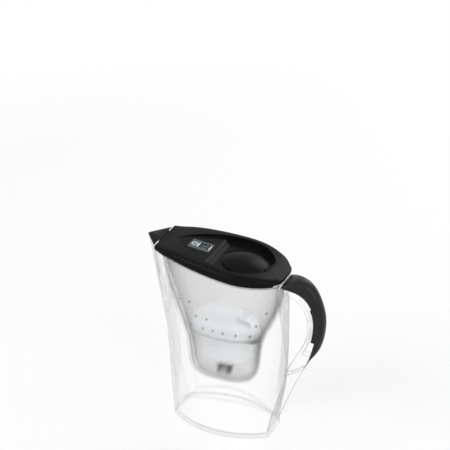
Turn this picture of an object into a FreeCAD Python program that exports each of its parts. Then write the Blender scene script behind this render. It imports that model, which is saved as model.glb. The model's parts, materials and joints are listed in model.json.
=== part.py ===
import FreeCAD, Part
import Sketcher
import math
import os

# Water filter pitcher: a clear jug with a pouring beak, a funnel hopper that hangs in its rim,
# a filter cartridge in the hopper's socket, and a lid with two flaps and a change indicator.
# Millimetres. Origin at the centre of the base, +Z up, the beak towards -X, the handle towards +X.

Vec = FreeCAD.Vector
doc = FreeCAD.newDocument("filter_pitcher")
sheet = doc.addObject("Spreadsheet::Sheet", "sizes")

driving = (
    # jug: lengths along X run from the base centre to the front or the rear
    ("base_front", 71.1),
    ("base_rear", 71.1),
    ("base_front_width", 41.8),
    ("base_rear_width", 39.2),
    ("base_width", 89.0),
    ("base_widest", -2.4),
    ("waist_front", 91.0),
    ("waist_rear", 88.5),
    ("waist_front_height", 137.0),
    ("waist_rear_height", 103.0),
    ("waist_end_width", 5.0),
    ("waist_width", 96.0),
    ("waist_widest", 5.0),
    ("rim_front", 92.9),
    ("rim_rear", 84.1),
    ("rim_front_width", 58.0),
    ("rim_rear_width", 38.0),
    ("rim_width", 103.0),
    ("rim_widest", 20.0),
    ("rim_height", 258.7),
    ("rim_tilt", 5.74),
    ("beak_point", 117.6),
    ("beak_nose_radius", 3.5),
    ("beak_web", 12.0),
    ("beak_back", 7.0),
    ("jug_wall", 2.6),
    ("jug_floor", 5.0),
    ("rim_lip", 1.5),
    ("seat_depth", 7.5),
    # handle: the loop is part of the jug, the grip clips over it
    ("handle_reach", 58.0),
    ("handle_height", 136.4),
    ("handle_rise", 2.3),
    ("loop_width", 14.0),
    ("channel_wall", 2.2),
    ("web_width", 4.4),
    ("horn_width", 36.0),
    ("grip_width", 19.0),
    ("grip_tail_width", 6.0),
    ("grip_gap", 0.2),
    ("rail_width", 8.6),
    # hopper
    ("flange_gap", 0.45),
    ("flange_drop", 0.6),
    ("flange_width", 5.0),
    ("flange_front_radius", 15.0),
    ("flange_rear_radius", 24.0),
    ("funnel_gap", 2.6),
    ("seat_gap", 0.1),
    ("hopper_wall", 1.9),
    ("hopper_depth", 182.7),
    ("ledge_depth", 109.2),
    ("ledge_thickness", 2.2),
    ("shelf_clearance", 2.3),
    ("throat_length", 114.0),
    ("throat_width", 72.0),
    ("socket_length", 100.0),
    ("socket_width", 63.0),
    ("socket_foot_length", 73.0),
    ("socket_foot_width", 38.0),
    ("socket_centre", -3.0),
    ("drain_length", 16.0),
    ("drain_width", 9.0),
    # outlet post
    ("post_length", 18.0),
    ("post_width", 13.0),
    ("post_top_length", 16.0),
    ("post_top_width", 11.0),
    ("post_wall", 1.8),
    ("post_window", 6.0),
    ("post_clearance", 0.6),
    # cartridge
    ("band_length", 96.0),
    ("band_width", 62.0),
    ("band_height", 11.0),
    ("body_length", 84.0),
    ("body_width", 53.0),
    ("body_depth", 47.0),
    ("foot_length", 66.0),
    ("foot_width", 38.0),
    ("cup_wall", 1.6),
    ("cup_floor", 2.0),
    ("dome_length", 93.0),
    ("dome_width", 59.0),
    ("cap_rise", 15.0),
    ("cap_wall", 1.8),
    ("grip_hole_rear", 37.8),
    ("grip_hole_length", 20.0),
    ("grip_hole_width", 26.0),
    ("grip_hole_depth", 11.0),
    ("grip_bar_width", 9.0),
    ("grip_bar_thickness", 3.0),
    ("screen_thickness", 0.6),
    ("screen_gap", 0.15),
    ("outlet_hole", 4.0),
    ("inlet_slot_length", 14.0),
    ("inlet_slot_width", 2.0),
    # lid
    ("lid_overhang", 1.9),
    ("skirt_gap", 0.45),
    ("skirt_depth", 3.0),
    ("lid_wall", 2.2),
    ("lid_border", 4.6),
    ("crest_height", 9.8),
    ("crest_inset", 10.0),
    ("edge_height", 1.5),
    ("lid_front", 92.4),
    ("lid_rear_radius", 25.0),
    ("recess_front", 73.0),
    ("recess_rear", 64.5),
    ("recess_width", 84.0),
    ("recess_front_width", 5.0),
    ("recess_rear_width", 24.0),
    ("recess_widest", 20.0),
    ("recess_floor_height", 5.1),
    ("scoop_floor_height", 0.4),
    ("scoop_top", 20.0),
    ("scoop_foot", 7.5),
    ("cap_front", 65.5),
    ("cap_front_width", 23.2),
    ("cap_floor_height", 1.6),
    ("cap_gap", 0.25),
    # refill flap
    ("flap_length", 66.0),
    ("flap_width", 58.0),
    ("flap_centre", 27.0),
    ("flap_edge", 1.4),
    ("flap_rise", 7.8),
    ("flap_wall", 2.0),
    ("flap_gap", 0.3),
    ("refill_length", 54.0),
    ("refill_width", 46.0),
    ("hinge_setback", 1.9),
    ("hinge_height", 3.0),
    ("lug_radius", 2.0),
    ("knuckle_width", 12.0),
    ("lug_width", 4.6),
    ("arm_length", 8.0),
    ("arm_thickness", 2.2),
    ("pin_radius", 1.1),
    ("pin_play", 0.05),
    ("lug_play", 0.35),
    # spout flap
    ("spout_axis_front", 94.8),
    ("spout_axis_height", 1.7),
    ("spout_edge_gap", 1.0),
    ("spout_barrel", 1.7),
    ("spout_knuckle", 15.0),
    ("spout_ear", 6.0),
    ("spout_pin_radius", 0.8),
    ("spout_rest", 0.35),
    ("spout_thickness", 2.6),
    ("spout_overhang", 0.6),
    ("spout_chamfer", 3.0),
    # change indicator, stacked down from the face plate
    ("slot_centre", 38.6),
    ("indicator_length", 31.4),
    ("indicator_width", 21.4),
    ("indicator_depth", 8.2),
    ("indicator_gap", 0.3),
    ("pocket_wall", 1.5),
    ("plate_thickness", 1.6),
    ("plate_ledge", 0.6),
    ("case_wall", 1.2),
    ("window_length", 14.0),
    ("window_width", 13.0),
    ("window_thickness", 1.2),
    ("window_offset", 5.0),
    ("button_radius", 3.6),
    ("button_offset", -9.0),
    ("button_play", 0.06),
    ("button_stroke", 0.6),
    ("button_collar", 0.9),
    ("button_proud", 0.2),
    ("panel_length", 16.0),
    ("panel_width", 15.0),
    ("panel_thickness", 1.0),
    ("strip_height", 1.0),
    ("strip_width", 1.6),
    ("board_length", 27.4),
    ("board_width", 17.2),
    ("board_thickness", 0.8),
    ("cell_radius", 8.0),
    ("cell_thickness", 1.9),
    ("clip_length", 20.0),
    ("clip_width", 5.0),
    ("corner_post", 2.0),
    ("clip_thickness", 0.3),
    ("dome_radius", 3.0),
    ("dome_height", 0.5),
    ("stack_gap", 0.1),
    # one overrun serves all cuts
    ("overrun", 6.0),
)
for row, (alias, value) in enumerate(driving, 1):
    sheet.set(f"A{row}", alias)
    sheet.set(f"B{row}", str(value))
    sheet.setAlias(f"B{row}", alias)
doc.recompute()


class Sizes:
    pass


dim = Sizes()
for alias, value in driving:
    setattr(dim, alias, float(getattr(sheet, alias)))

slope = math.tan(math.radians(dim.rim_tilt))


def rimPlane(x, rise=0.0):
    return dim.rim_height - slope * x + rise


def at(rise):
    return lambda x: rimPlane(x, rise)


def flat(height):
    return lambda x: height


# Least half width of an inset outline's end, as a share of the waist's end
endShare = 0.25


class Plan:
    # Lens outline: a straight front edge, two tangent arcs a side, a straight rear edge
    def __init__(self, front, frontHalf, widest, half, rear, rearHalf):
        self.front = front
        self.frontHalf = frontHalf
        self.widest = widest
        self.half = half
        self.rear = rear
        self.rearHalf = rearHalf

    def radius(self, end, endHalf):
        fall = self.half - endHalf
        return ((self.widest - end) ** 2 + fall ** 2) / (2 * fall)

    def halfAt(self, x):
        end, endHalf = (self.front, self.frontHalf) if x < self.widest else (self.rear, self.rearHalf)
        bend = self.radius(end, endHalf)
        return self.half - bend + math.sqrt(max(bend ** 2 - (x - self.widest) ** 2, 0))

    def insetEnd(self, end, endHalf, wall, least):
        bend = self.radius(end, endHalf)
        inward = 1 if end < self.widest else -1
        newEnd = end + inward * wall
        reach = (bend - wall) ** 2 - (newEnd - self.widest) ** 2
        newHalf = self.half - bend + math.sqrt(max(reach, 0))
        if newHalf < least:
            newHalf = least
            newEnd = self.widest - inward * math.sqrt((bend - wall) ** 2 - (least - self.half + bend) ** 2)
        return newEnd, newHalf

    def inset(self, wall):
        least = endShare * dim.waist_end_width
        front, frontHalf = self.insetEnd(self.front, self.frontHalf, wall, least)
        rear, rearHalf = self.insetEnd(self.rear, self.rearHalf, wall, least)
        return Plan(front, frontHalf, self.widest, self.half - wall, rear, rearHalf)

    def mixed(self, other, share):
        keys = ("front", "frontHalf", "widest", "half", "rear", "rearHalf")
        return Plan(*[getattr(self, k) + share * (getattr(other, k) - getattr(self, k)) for k in keys])

    def wire(self, plane):
        def point(x, y):
            return Vec(x, y, plane(x))

        def bowed(start, end, side):
            middle = (start[0] + end[0]) / 2
            return Part.Arc(point(*start), point(middle, side * self.halfAt(middle)), point(*end))

        frontRight, frontLeft = (self.front, -self.frontHalf), (self.front, self.frontHalf)
        rearRight, rearLeft = (self.rear, -self.rearHalf), (self.rear, self.rearHalf)
        right, left = (self.widest, -self.half), (self.widest, self.half)
        edges = [
            Part.LineSegment(point(*frontLeft), point(*frontRight)),
            bowed(frontRight, right, -1),
            bowed(right, rearRight, -1),
            Part.LineSegment(point(*rearRight), point(*rearLeft)),
            bowed(rearLeft, left, 1),
            bowed(left, frontLeft, 1),
        ]
        return Part.Wire([edge.toShape() for edge in edges])

    def prism(self, plane, height):
        return Part.Face(self.wire(plane)).extrude(Vec(0, 0, height))

    def roundedPrism(self, plane, height, frontRadius, rearRadius):
        # Prism with the upright corners of its ends rounded; an end without a radius stays sharp
        solid = self.prism(plane, height)
        for end, radius in ((self.front, frontRadius), (self.rear, rearRadius)):
            if radius:
                reach = abs(self.widest - end) / 2
                boxes = [(edge, edge.BoundBox) for edge in solid.Edges]
                corners = [edge for edge, box in boxes if box.XLength + box.YLength < box.ZLength
                           and abs(box.Center.x - end) < reach]
                solid = solid.makeFillet(radius, corners)
        return solid

    def ringPoint(self, angle):
        # Point at an angle round the outline; the end edges take the angles near 0 and 180
        cornerShare = 1.06
        reach = math.cos(angle) * cornerShare
        side = math.copysign(1, math.sin(angle))
        middle, span = (self.front + self.rear) / 2, (self.rear - self.front) / 2
        if abs(reach) < 1:
            x = middle + reach * span
            return x, side * self.halfAt(x)
        endHalf = self.rearHalf if reach > 0 else self.frontHalf
        cornerSine = math.sqrt(1 - 1 / cornerShare ** 2)
        return middle + math.copysign(span, reach), endHalf * math.sin(angle) / cornerSine


def feature(label, shape, placement=FreeCAD.Placement()):
    piece = doc.addObject("Part::Feature", label)
    piece.Label = label
    piece.Shape = shape
    piece.Placement = placement
    return piece


def loft(wires, ruled=False):
    return Part.makeLoft(wires, True, ruled)


def closedCurve(points):
    curve = Part.BSplineCurve()
    curve.interpolate(Points=points, PeriodicFlag=True)
    return Part.Wire(curve.toShape())


def openCurve(points):
    curve = Part.BSplineCurve()
    curve.interpolate(Points=points)
    return curve.toShape()


def ovalPoint(length, width, angle):
    # Superellipse, a little fuller than an ellipse
    power = 2.4
    c, s = math.cos(angle), math.sin(angle)
    x = math.copysign(abs(c) ** (2 / power), c) * length / 2
    y = math.copysign(abs(s) ** (2 / power), s) * width / 2
    return x, y


ringCount = 24
ringAngles = [2 * math.pi * step / ringCount for step in range(ringCount)]


def ovalWire(length, width, height, centre=0.0):
    points = []
    for angle in ringAngles:
        x, y = ovalPoint(length, width, angle)
        points.append(Vec(centre + x, y, height))
    return closedCurve(points)


def ovalPrism(length, width, low, high, centre=0.0):
    return Part.Face(ovalWire(length, width, low, centre)).extrude(Vec(0, 0, high - low))


def block(low, high):
    return Part.makeBox(high.x - low.x, high.y - low.y, high.z - low.z, low)


def rod(radius, x, z, low, high):
    return Part.makeCylinder(radius, high - low, Vec(x, low, z), Vec(0, 1, 0))


basePlan = Plan(-dim.base_front, dim.base_front_width / 2, dim.base_widest, dim.base_width / 2,
                dim.base_rear, dim.base_rear_width / 2)
waistPlan = Plan(-dim.waist_front, dim.waist_end_width / 2, dim.waist_widest, dim.waist_width / 2,
                 dim.waist_rear, dim.waist_end_width / 2)
rimPlan = Plan(-dim.rim_front, dim.rim_front_width / 2, dim.rim_widest, dim.rim_width / 2,
               dim.rim_rear, dim.rim_rear_width / 2)


def waistPlane(x):
    fall = (dim.waist_front_height - dim.waist_rear_height) / (dim.waist_front + dim.waist_rear)
    return dim.waist_front_height - fall * (x + dim.waist_front)


def jugLevel(level):
    # Plan and plane of the jug: 0 at the base, 1 at the waist, 2 at the rim
    if level <= 1:
        return basePlan.mixed(waistPlan, level), lambda x: level * waistPlane(x)
    share = level - 1
    return waistPlan.mixed(rimPlan, share), lambda x: waistPlane(x) + share * (rimPlane(x) - waistPlane(x))


def jugLoft(wall):
    wires = []
    for level in (0, 0.5, 1, 1.5, 2):
        plan, plane = jugLevel(level)
        wires.append((plan.inset(wall) if wall else plan).wire(plane))
    return loft(wires)


def beakWire(corner, cornerHalf, point, nose, back, height):
    # Pointed outline with a rounded nose; the back edge lies inside the jug
    lean = math.atan2(cornerHalf, corner - point)
    centre = point + nose / math.sin(lean)
    touchX, touchY = centre - nose * math.sin(lean), nose * math.cos(lean)
    tip = Vec(centre - nose, 0, height)
    corners = [Vec(back, -cornerHalf, height), Vec(corner, -cornerHalf, height), Vec(touchX, -touchY, height),
               Vec(touchX, touchY, height), Vec(corner, cornerHalf, height), Vec(back, cornerHalf, height)]
    edges = [Part.LineSegment(corners[0], corners[1]), Part.LineSegment(corners[1], corners[2]),
             Part.Arc(corners[2], tip, corners[3]), Part.LineSegment(corners[3], corners[4]),
             Part.LineSegment(corners[4], corners[5]), Part.LineSegment(corners[5], corners[0])]
    return Part.Wire([edge.toShape() for edge in edges])


def beakSolid(wall):
    half = dim.rim_front_width / 2
    lean = math.atan2(half, dim.beak_point - dim.rim_front)
    topHalf = half - wall / math.cos(lean)
    topPoint = -dim.beak_point + wall / math.sin(lean)
    share = dim.waist_end_width / dim.rim_front_width
    low = dim.waist_front_height + (dim.beak_web if wall else 0)
    reach = (dim.beak_point - dim.rim_front) * share
    back = dim.beak_back + (dim.jug_wall if wall else 0)
    top = rimPlane(-dim.rim_front)
    nose = dim.beak_nose_radius * (1 if not wall else topHalf / half)
    upper = beakWire(-dim.rim_front, topHalf, topPoint, nose, back - dim.rim_front, top)
    lower = beakWire(-dim.waist_front, half * share, -dim.waist_front - reach, dim.beak_nose_radius * share,
                     back - dim.waist_front, low)
    return loft([lower, upper], True)


# Side profile of the handle, as shares of its reach behind the rim and of its height
gripOuterShares = ((0.03, 0.955), (0.27, 1.0), (0.56, 0.985), (0.87, 0.818), (0.99, 0.637), (1.0, 0.507),
                   (0.93, 0.323), (0.80, 0.194), (0.56, 0.02))
gripInnerShares = ((0.015, 0.925), (0.24, 0.905), (0.48, 0.85), (0.71, 0.717), (0.80, 0.60), (0.82, 0.49),
                   (0.775, 0.321), (0.68, 0.165), (0.53, 0.0))
loopInnerShares = ((-0.12, 0.84), (0.10, 0.815), (0.34, 0.765), (0.55, 0.645), (0.605, 0.57), (0.61, 0.48),
                   (0.55, 0.335), (0.38, 0.17), (0.05, -0.14))
webShares = ((0.53, 0.0), (0.30, -0.22), (0.11, -0.44), (-0.08, -0.66), (-0.40, -0.66))
gripWidthShares = (1.0, 0.80, 0.28, 0.04, 0.0, 0.0, -0.14, -0.45, -1.0)
# Half section of the grip: share of its half width, share of its rise
archShares = ((1.0, 0.0), (0.98, 0.45), (0.62, 0.87))
# Floor and mouth of the loop's channel, tip and root of the grip's rail, as shares from the loop's inner line
channelFloorShare, channelMouthShare = 0.3, 1.4
railTipShare, railRootShare = 0.55, 1.1


def handlePoint(share):
    high = rimPlane(dim.rim_rear) + dim.handle_rise
    return Vec(dim.rim_rear + share[0] * dim.handle_reach, 0,
               high - (1 - share[1]) * dim.handle_height)


def mixedShares(first, second, share):
    return [tuple(a + share * (b - a) for a, b in zip(one, two)) for one, two in zip(first, second)]


def slab(edges, width):
    # Closed side profile made into a plate of the given width about the middle plane
    face = Part.Face(Part.Wire(edges))
    face.translate(Vec(0, -width / 2, 0))
    return face.extrude(Vec(0, width, 0))


def line(start, end):
    return Part.LineSegment(start, end).toShape()


def handleLoop():
    outer = [handlePoint(share) for share in gripInnerShares]
    inner = [handlePoint(share) for share in loopInnerShares]
    web = [handlePoint(share) for share in webShares]
    root = Vec(inner[0].x, 0, outer[0].z)
    edges = [line(root, outer[0]), openCurve(outer), line(outer[-1], inner[-1]), openCurve(inner[::-1]),
             line(inner[0], root)]
    loop = slab(edges, dim.loop_width)
    floorShares = mixedShares(loopInnerShares, gripInnerShares, channelFloorShare)[2:-1]
    mouthShares = mixedShares(loopInnerShares, gripInnerShares, channelMouthShare)[2:-1]
    floorLine = [handlePoint(share) for share in floorShares]
    mouth = [handlePoint(share) for share in mouthShares]
    channelEdges = [openCurve(floorLine), line(floorLine[-1], mouth[-1]), openCurve(mouth[::-1]),
                    line(mouth[0], floorLine[0])]
    channel = slab(channelEdges, dim.loop_width - 2 * dim.channel_wall)
    foot = Vec(web[-1].x, 0, inner[-1].z)
    webEdges = [line(a, b) for a, b in zip(web, web[1:])]
    webEdges += [line(web[-1], foot), line(foot, inner[-1]), line(inner[-1], web[0])]
    return loop.cut(channel).fuse(slab(webEdges, dim.web_width))


def makeJug():
    beak = beakSolid(0).cut(rimPlan.inset(-dim.lid_overhang).prism(at(0), dim.overrun))
    solid = jugLoft(0).fuse(beak).fuse(handleLoop())
    inside = jugLoft(dim.jug_wall).fuse(beakSolid(dim.jug_wall))
    below = block(Vec(-dim.beak_point, -dim.rim_width, -dim.overrun),
                  Vec(dim.beak_point, dim.rim_width, dim.jug_floor))
    solid = solid.cut(inside.cut(below))
    seat = rimPlan.inset(dim.rim_lip).prism(at(-dim.seat_depth), dim.seat_depth + dim.overrun)
    feature("jug", solid.cut(seat).removeSplitter())


def makeHandleGrip():
    # D-shaped sections square to the seat on the loop
    seat = [handlePoint(share) for share in gripInnerShares]
    crown = [handlePoint(share) for share in gripOuterShares]
    wires = []
    for index, (base, top) in enumerate(zip(seat, crown)):
        share = gripWidthShares[index]
        wide = dim.horn_width if share > 0 else dim.grip_tail_width
        half = (dim.grip_width + abs(share) * (wide - dim.grip_width)) / 2
        out = top - base
        rise = out.Length
        out.normalize()
        low = base + out * dim.grip_gap
        side = Vec(0, half, 0)
        right = [low - side * across + out * rise * up for across, up in archShares]
        left = [low + side * across + out * rise * up for across, up in reversed(archShares)]
        arch = right + [low + out * rise] + left
        wires.append(Part.Wire([openCurve(arch), line(low + side, low - side)]))
    grip = loft(wires)
    railShares = mixedShares(loopInnerShares, gripInnerShares, railTipShare)[3:-2]
    rootShares = mixedShares(loopInnerShares, gripInnerShares, railRootShare)[3:-2]
    tongue = [handlePoint(share) for share in railShares]
    root = [handlePoint(share) for share in rootShares]
    edges = [openCurve(tongue), line(tongue[-1], root[-1]), openCurve(root[::-1]), line(root[0], tongue[0])]
    feature("handle_grip", grip.fuse(slab(edges, dim.rail_width)).removeSplitter())


ledgeHeight = dim.rim_height - dim.ledge_depth
hopperFloor = dim.rim_height - dim.hopper_depth

# Funnel from the ledge up: share of the height to the rim, share of the way from throat to rim outline
funnelShares = ((0.0, 0.0), (0.08, 0.16), (0.26, 0.46), (0.42, 0.68), (0.62, 0.86), (0.80, 0.95), (0.96, 1.0))
# Socket from its floor up: share of the height to the ledge, shares of the way foot to socket, socket to throat
socketShares = ((0.0, 0.0, 0.0), (0.04, 0.42, 0.0), (0.13, 0.72, 0.0), (0.34, 0.90, 0.0), (0.52, 1.0, 0.0),
                (0.70, 1.0, 0.25), (0.86, 1.0, 0.62), (1.0, 1.0, 1.0))


def funnelWire(share, size, wall):
    # The funnel keeps clear of the jug's wall at its own height
    height = ledgeHeight + share * (dim.rim_height - ledgeHeight)
    level = 1 + (height - waistPlane(0)) / (dim.rim_height - waistPlane(0))
    plan = jugLevel(level)[0].inset(dim.jug_wall + dim.funnel_gap + wall)
    points = []
    for angle in ringAngles:
        outerX, outerY = plan.ringPoint(angle)
        innerX, innerY = ovalPoint(dim.throat_length - 2 * wall, dim.throat_width - 2 * wall, angle)
        innerX += dim.socket_centre
        x = innerX + size * (outerX - innerX)
        y = innerY + size * (outerY - innerY)
        points.append(Vec(x, y, ledgeHeight + share * (rimPlane(x) - ledgeHeight)))
    return closedCurve(points)


def socketWire(share, toSocket, toThroat, wall, floor):
    length = dim.socket_foot_length + toSocket * (dim.socket_length - dim.socket_foot_length)
    width = dim.socket_foot_width + toSocket * (dim.socket_width - dim.socket_foot_width)
    length += toThroat * (dim.throat_length - dim.socket_length)
    width += toThroat * (dim.throat_width - dim.socket_width)
    height = floor + share * (ledgeHeight - floor)
    return ovalWire(length - 2 * wall, width - 2 * wall, height, dim.socket_centre)


def makeHopper():
    wall = dim.hopper_wall
    outer = loft([socketWire(*row, 0, hopperFloor) for row in socketShares])
    outer = outer.fuse(loft([funnelWire(*row, 0) for row in funnelShares]))
    funnel = loft([funnelWire(*row, wall) for row in funnelShares])
    socket = loft([socketWire(*row, wall, hopperFloor + wall) for row in socketShares])
    shelf = ledgeHeight - dim.ledge_thickness
    top = -dim.flange_drop
    flangePlan = rimPlan.inset(dim.rim_lip + dim.flange_gap)
    flangeLow = -dim.seat_depth + dim.seat_gap
    flange = flangePlan.roundedPrism(at(flangeLow), top - flangeLow, dim.flange_front_radius,
                                     dim.flange_rear_radius)
    flange = flange.cut(flangePlan.inset(dim.flange_width).prism(at(flangeLow - dim.overrun), dim.rim_height))
    trim = rimPlan.prism(at(top), dim.rim_height)
    opening = ovalPrism(dim.body_length + 2 * dim.shelf_clearance, dim.body_width + 2 * dim.shelf_clearance,
                        shelf - dim.overrun, ledgeHeight + dim.overrun, dim.socket_centre)
    middle = Vec(dim.socket_centre, 0, hopperFloor)
    halfDrain = Vec(dim.drain_length / 2, dim.drain_width / 2, dim.overrun)
    drain = block(middle - halfDrain, middle + halfDrain)
    above = block(Vec(-dim.rim_front, -dim.rim_width, shelf), Vec(dim.rim_rear, dim.rim_width, ledgeHeight))
    body = outer.cut(funnel).cut(socket.cut(above)).fuse(flange).cut(trim)
    feature("hopper", body.cut(opening).cut(drain).removeSplitter())


def origin(body, role):
    return [part for part in body.Origin.OriginFeatures if part.Role == role][0]


def newBody(label, placement):
    body = doc.addObject("PartDesign::Body", label)
    body.Label = label
    body.Placement = placement
    return body


def newSketch(body, name, role, offset):
    sketch = body.newObject("Sketcher::SketchObject", name)
    sketch.AttachmentSupport = [(origin(body, role), "")]
    sketch.MapMode = "FlatFace"
    for axis, expression in zip("xyz", offset):
        sketch.setExpression(f"AttachmentOffset.Base.{axis}", expression)
    return sketch


def rectangle(body, name, length, width, offset=("0", "0", "0"), role="XY_Plane"):
    # Rectangle about the sketch origin, moved by its attachment offset
    sketch = newSketch(body, name, role, offset)
    corners = [Vec(-1, -1, 0), Vec(1, -1, 0), Vec(1, 1, 0), Vec(-1, 1, 0)]
    for start, end in zip(corners, corners[1:] + corners[:1]):
        sketch.addGeometry(Part.LineSegment(start, end))
    for side in range(4):
        sketch.addConstraint(Sketcher.Constraint("Coincident", side, 2, (side + 1) % 4, 1))
        sketch.addConstraint(Sketcher.Constraint("Vertical" if side % 2 else "Horizontal", side))
    sketch.addConstraint(Sketcher.Constraint("Symmetric", 0, 1, 1, 2, -1, 1))
    across = sketch.addConstraint(Sketcher.Constraint("DistanceX", 0, 1, 0, 2, 2.0))
    along = sketch.addConstraint(Sketcher.Constraint("DistanceY", 1, 1, 1, 2, 2.0))
    sketch.renameConstraint(across, "across")
    sketch.renameConstraint(along, "along")
    sketch.setExpression("Constraints.across", length)
    sketch.setExpression("Constraints.along", width)
    return sketch


def disc(body, name, radius, offset=("0", "0", "0"), role="XY_Plane"):
    sketch = newSketch(body, name, role, offset)
    sketch.addGeometry(Part.Circle(Vec(0, 0, 0), Vec(0, 0, 1), 1))
    sketch.addConstraint(Sketcher.Constraint("Coincident", 0, 3, -1, 1))
    spread = sketch.addConstraint(Sketcher.Constraint("Radius", 0, 1.0))
    sketch.renameConstraint(spread, "spread")
    sketch.setExpression("Constraints.spread", radius)
    return sketch


def pad(body, name, sketch, length):
    step = body.newObject("PartDesign::Pad", name)
    step.Profile = sketch
    step.setExpression("Length", length)
    return step


def pocket(body, name, sketch, length, midplane=False):
    # Cuts downwards from its sketch, or both ways about it
    step = body.newObject("PartDesign::Pocket", name)
    step.Profile = sketch
    step.Midplane = midplane
    step.setExpression("Length", length)
    return step


def makeOutletPost():
    place = Vec(dim.socket_centre, 0, hopperFloor + dim.hopper_wall)
    body = newBody("outlet_post", FreeCAD.Placement(place, FreeCAD.Rotation()))
    tall = "sizes.hopper_depth - sizes.hopper_wall - sizes.ledge_depth"
    tall += " + sizes.seat_gap - sizes.body_depth - sizes.post_clearance"
    base = rectangle(body, "post_foot", "sizes.post_length", "sizes.post_width")
    crown = rectangle(body, "post_crown", "sizes.post_top_length", "sizes.post_top_width", ("0", "0", tall))
    tower = body.newObject("PartDesign::AdditiveLoft", "post_tower")
    tower.Profile = base
    tower.Sections = [crown]
    bore = rectangle(body, "post_bore", "sizes.post_top_length - 2 * sizes.post_wall",
                     "sizes.post_top_width - 2 * sizes.post_wall", ("0", "0", f"{tall} - sizes.post_wall"))
    pocket(body, "post_hollow", bore, "sizes.hopper_depth")
    window = rectangle(body, "post_window_sketch", "sizes.post_top_length - 4 * sizes.post_wall",
                       "sizes.post_window", ("0", "sizes.post_window / 2 + sizes.post_wall", "0"), "XZ_Plane")
    pocket(body, "post_windows", window, "2 * sizes.post_width", True)


bandLow = ledgeHeight + dim.seat_gap
bandMiddle = bandLow + dim.band_height / 2
bandHigh = bandLow + dim.band_height
cupFoot = bandLow - dim.body_depth

# Cartridge body from its foot up: share of its depth, share of the way from foot to body size
cupShares = ((0.0, 0.0), (0.05, 0.42), (0.14, 0.62), (0.32, 0.74), (0.66, 0.88), (1.0, 1.0))
# Spacing of holes and slots as a share of their width
holePitchShare = 2.4


def cupLoft(wall, foot):
    wires = []
    for share, size in cupShares:
        length = dim.foot_length + size * (dim.body_length - dim.foot_length) - 2 * wall
        width = dim.foot_width + size * (dim.body_width - dim.foot_width) - 2 * wall
        wires.append(ovalWire(length, width, foot + share * (bandLow - foot), dim.socket_centre))
    return loft(wires)


def makeCartridgeCup():
    inside = dim.body_length - 2 * dim.cup_wall, dim.body_width - 2 * dim.cup_wall
    band = ovalPrism(dim.band_length, dim.band_width, bandLow, bandMiddle, dim.socket_centre)
    body = cupLoft(0, cupFoot).fuse(band).cut(cupLoft(dim.cup_wall, cupFoot + dim.cup_floor))
    body = body.cut(ovalPrism(*inside, bandLow, bandMiddle + dim.overrun, dim.socket_centre))
    pitch = holePitchShare * dim.outlet_hole
    for column in (-2, -1, 0, 1, 2):
        for row in (-0.5, 0.5):
            place = Vec(dim.socket_centre + column * pitch, row * pitch, cupFoot - dim.overrun)
            body = body.cut(Part.makeCylinder(dim.outlet_hole / 2, 2 * dim.overrun, place))
    feature("cartridge_cup", body.removeSplitter())


def makeCartridgeFilling():
    floor = cupFoot + dim.cup_floor
    trim = dim.cup_wall + dim.screen_gap
    inside = dim.foot_length - 2 * trim, dim.foot_width - 2 * trim
    feature("outlet_screen", ovalPrism(*inside, floor, floor + dim.screen_thickness, dim.socket_centre))
    bed = cupLoft(trim, floor)
    below = block(Vec(-dim.rim_front, -dim.rim_width, floor - dim.overrun),
                  Vec(dim.rim_rear, dim.rim_width, floor + dim.screen_thickness))
    feature("filter_media", bed.cut(below))
    inside = dim.body_length - 2 * trim, dim.body_width - 2 * trim
    feature("inlet_screen", ovalPrism(*inside, bandLow, bandLow + dim.screen_thickness, dim.socket_centre))


def domeBall(wall):
    # Ellipsoid about the top of the band; its upper half is the cap's dome
    rise = dim.cap_rise - wall
    stretch = FreeCAD.Matrix()
    stretch.scale((dim.dome_length / 2 - wall) / rise, (dim.dome_width / 2 - wall) / rise, 1)
    ball = Part.makeSphere(rise).transformGeometry(stretch)
    ball.translate(Vec(dim.socket_centre, 0, bandHigh))
    return ball


def makeCartridgeCap():
    top = bandHigh + dim.cap_rise
    rear = dim.grip_hole_rear
    inside = dim.dome_length - 2 * dim.cap_wall, dim.dome_width - 2 * dim.cap_wall
    hollow = ovalPrism(*inside, bandMiddle - dim.overrun, bandHigh - dim.cap_wall, dim.socket_centre)
    hollow = hollow.fuse(domeBall(dim.cap_wall))
    above = block(Vec(-dim.rim_front, -dim.rim_width, bandHigh),
                  Vec(dim.rim_rear, dim.rim_width, top + dim.overrun))
    outer = ovalPrism(dim.band_length, dim.band_width, bandMiddle, bandHigh, dim.socket_centre)
    outer = outer.fuse(domeBall(0).common(above))

    def gripHole(grow):
        half = dim.grip_hole_width / 2 + grow
        return block(Vec(rear - dim.grip_hole_length - grow, -half, top - dim.grip_hole_depth - grow),
                     Vec(rear + grow, half, top + dim.overrun))

    strip = block(Vec(dim.socket_centre, -dim.grip_bar_width / 2, bandMiddle),
                  Vec(dim.rim_rear, dim.grip_bar_width / 2, top + dim.overrun))
    under = domeBall(0)
    under.translate(Vec(0, 0, -dim.grip_bar_thickness))
    shell = outer.cut(hollow.cut(gripHole(dim.cap_wall))).cut(gripHole(0).cut(strip.cut(under)))
    pitch = holePitchShare * dim.inlet_slot_width
    for row in (-1, 0, 1):
        low = Vec(rear - dim.grip_hole_length / 2 - dim.inlet_slot_length / 2,
                  row * pitch - dim.inlet_slot_width / 2, top - dim.grip_hole_depth - dim.overrun)
        reach = dim.overrun + dim.cap_wall
        shell = shell.cut(block(low, low + Vec(dim.inlet_slot_length, dim.inlet_slot_width, reach)))
    feature("cartridge_cap", shell.removeSplitter())


lidPlan = rimPlan.inset(-dim.lid_overhang)
lidRear = dim.rim_rear + dim.lid_overhang
tilted = FreeCAD.Rotation(Vec(0, 1, 0), dim.rim_tilt)
beakTop = rimPlane(-dim.rim_front)

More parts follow.
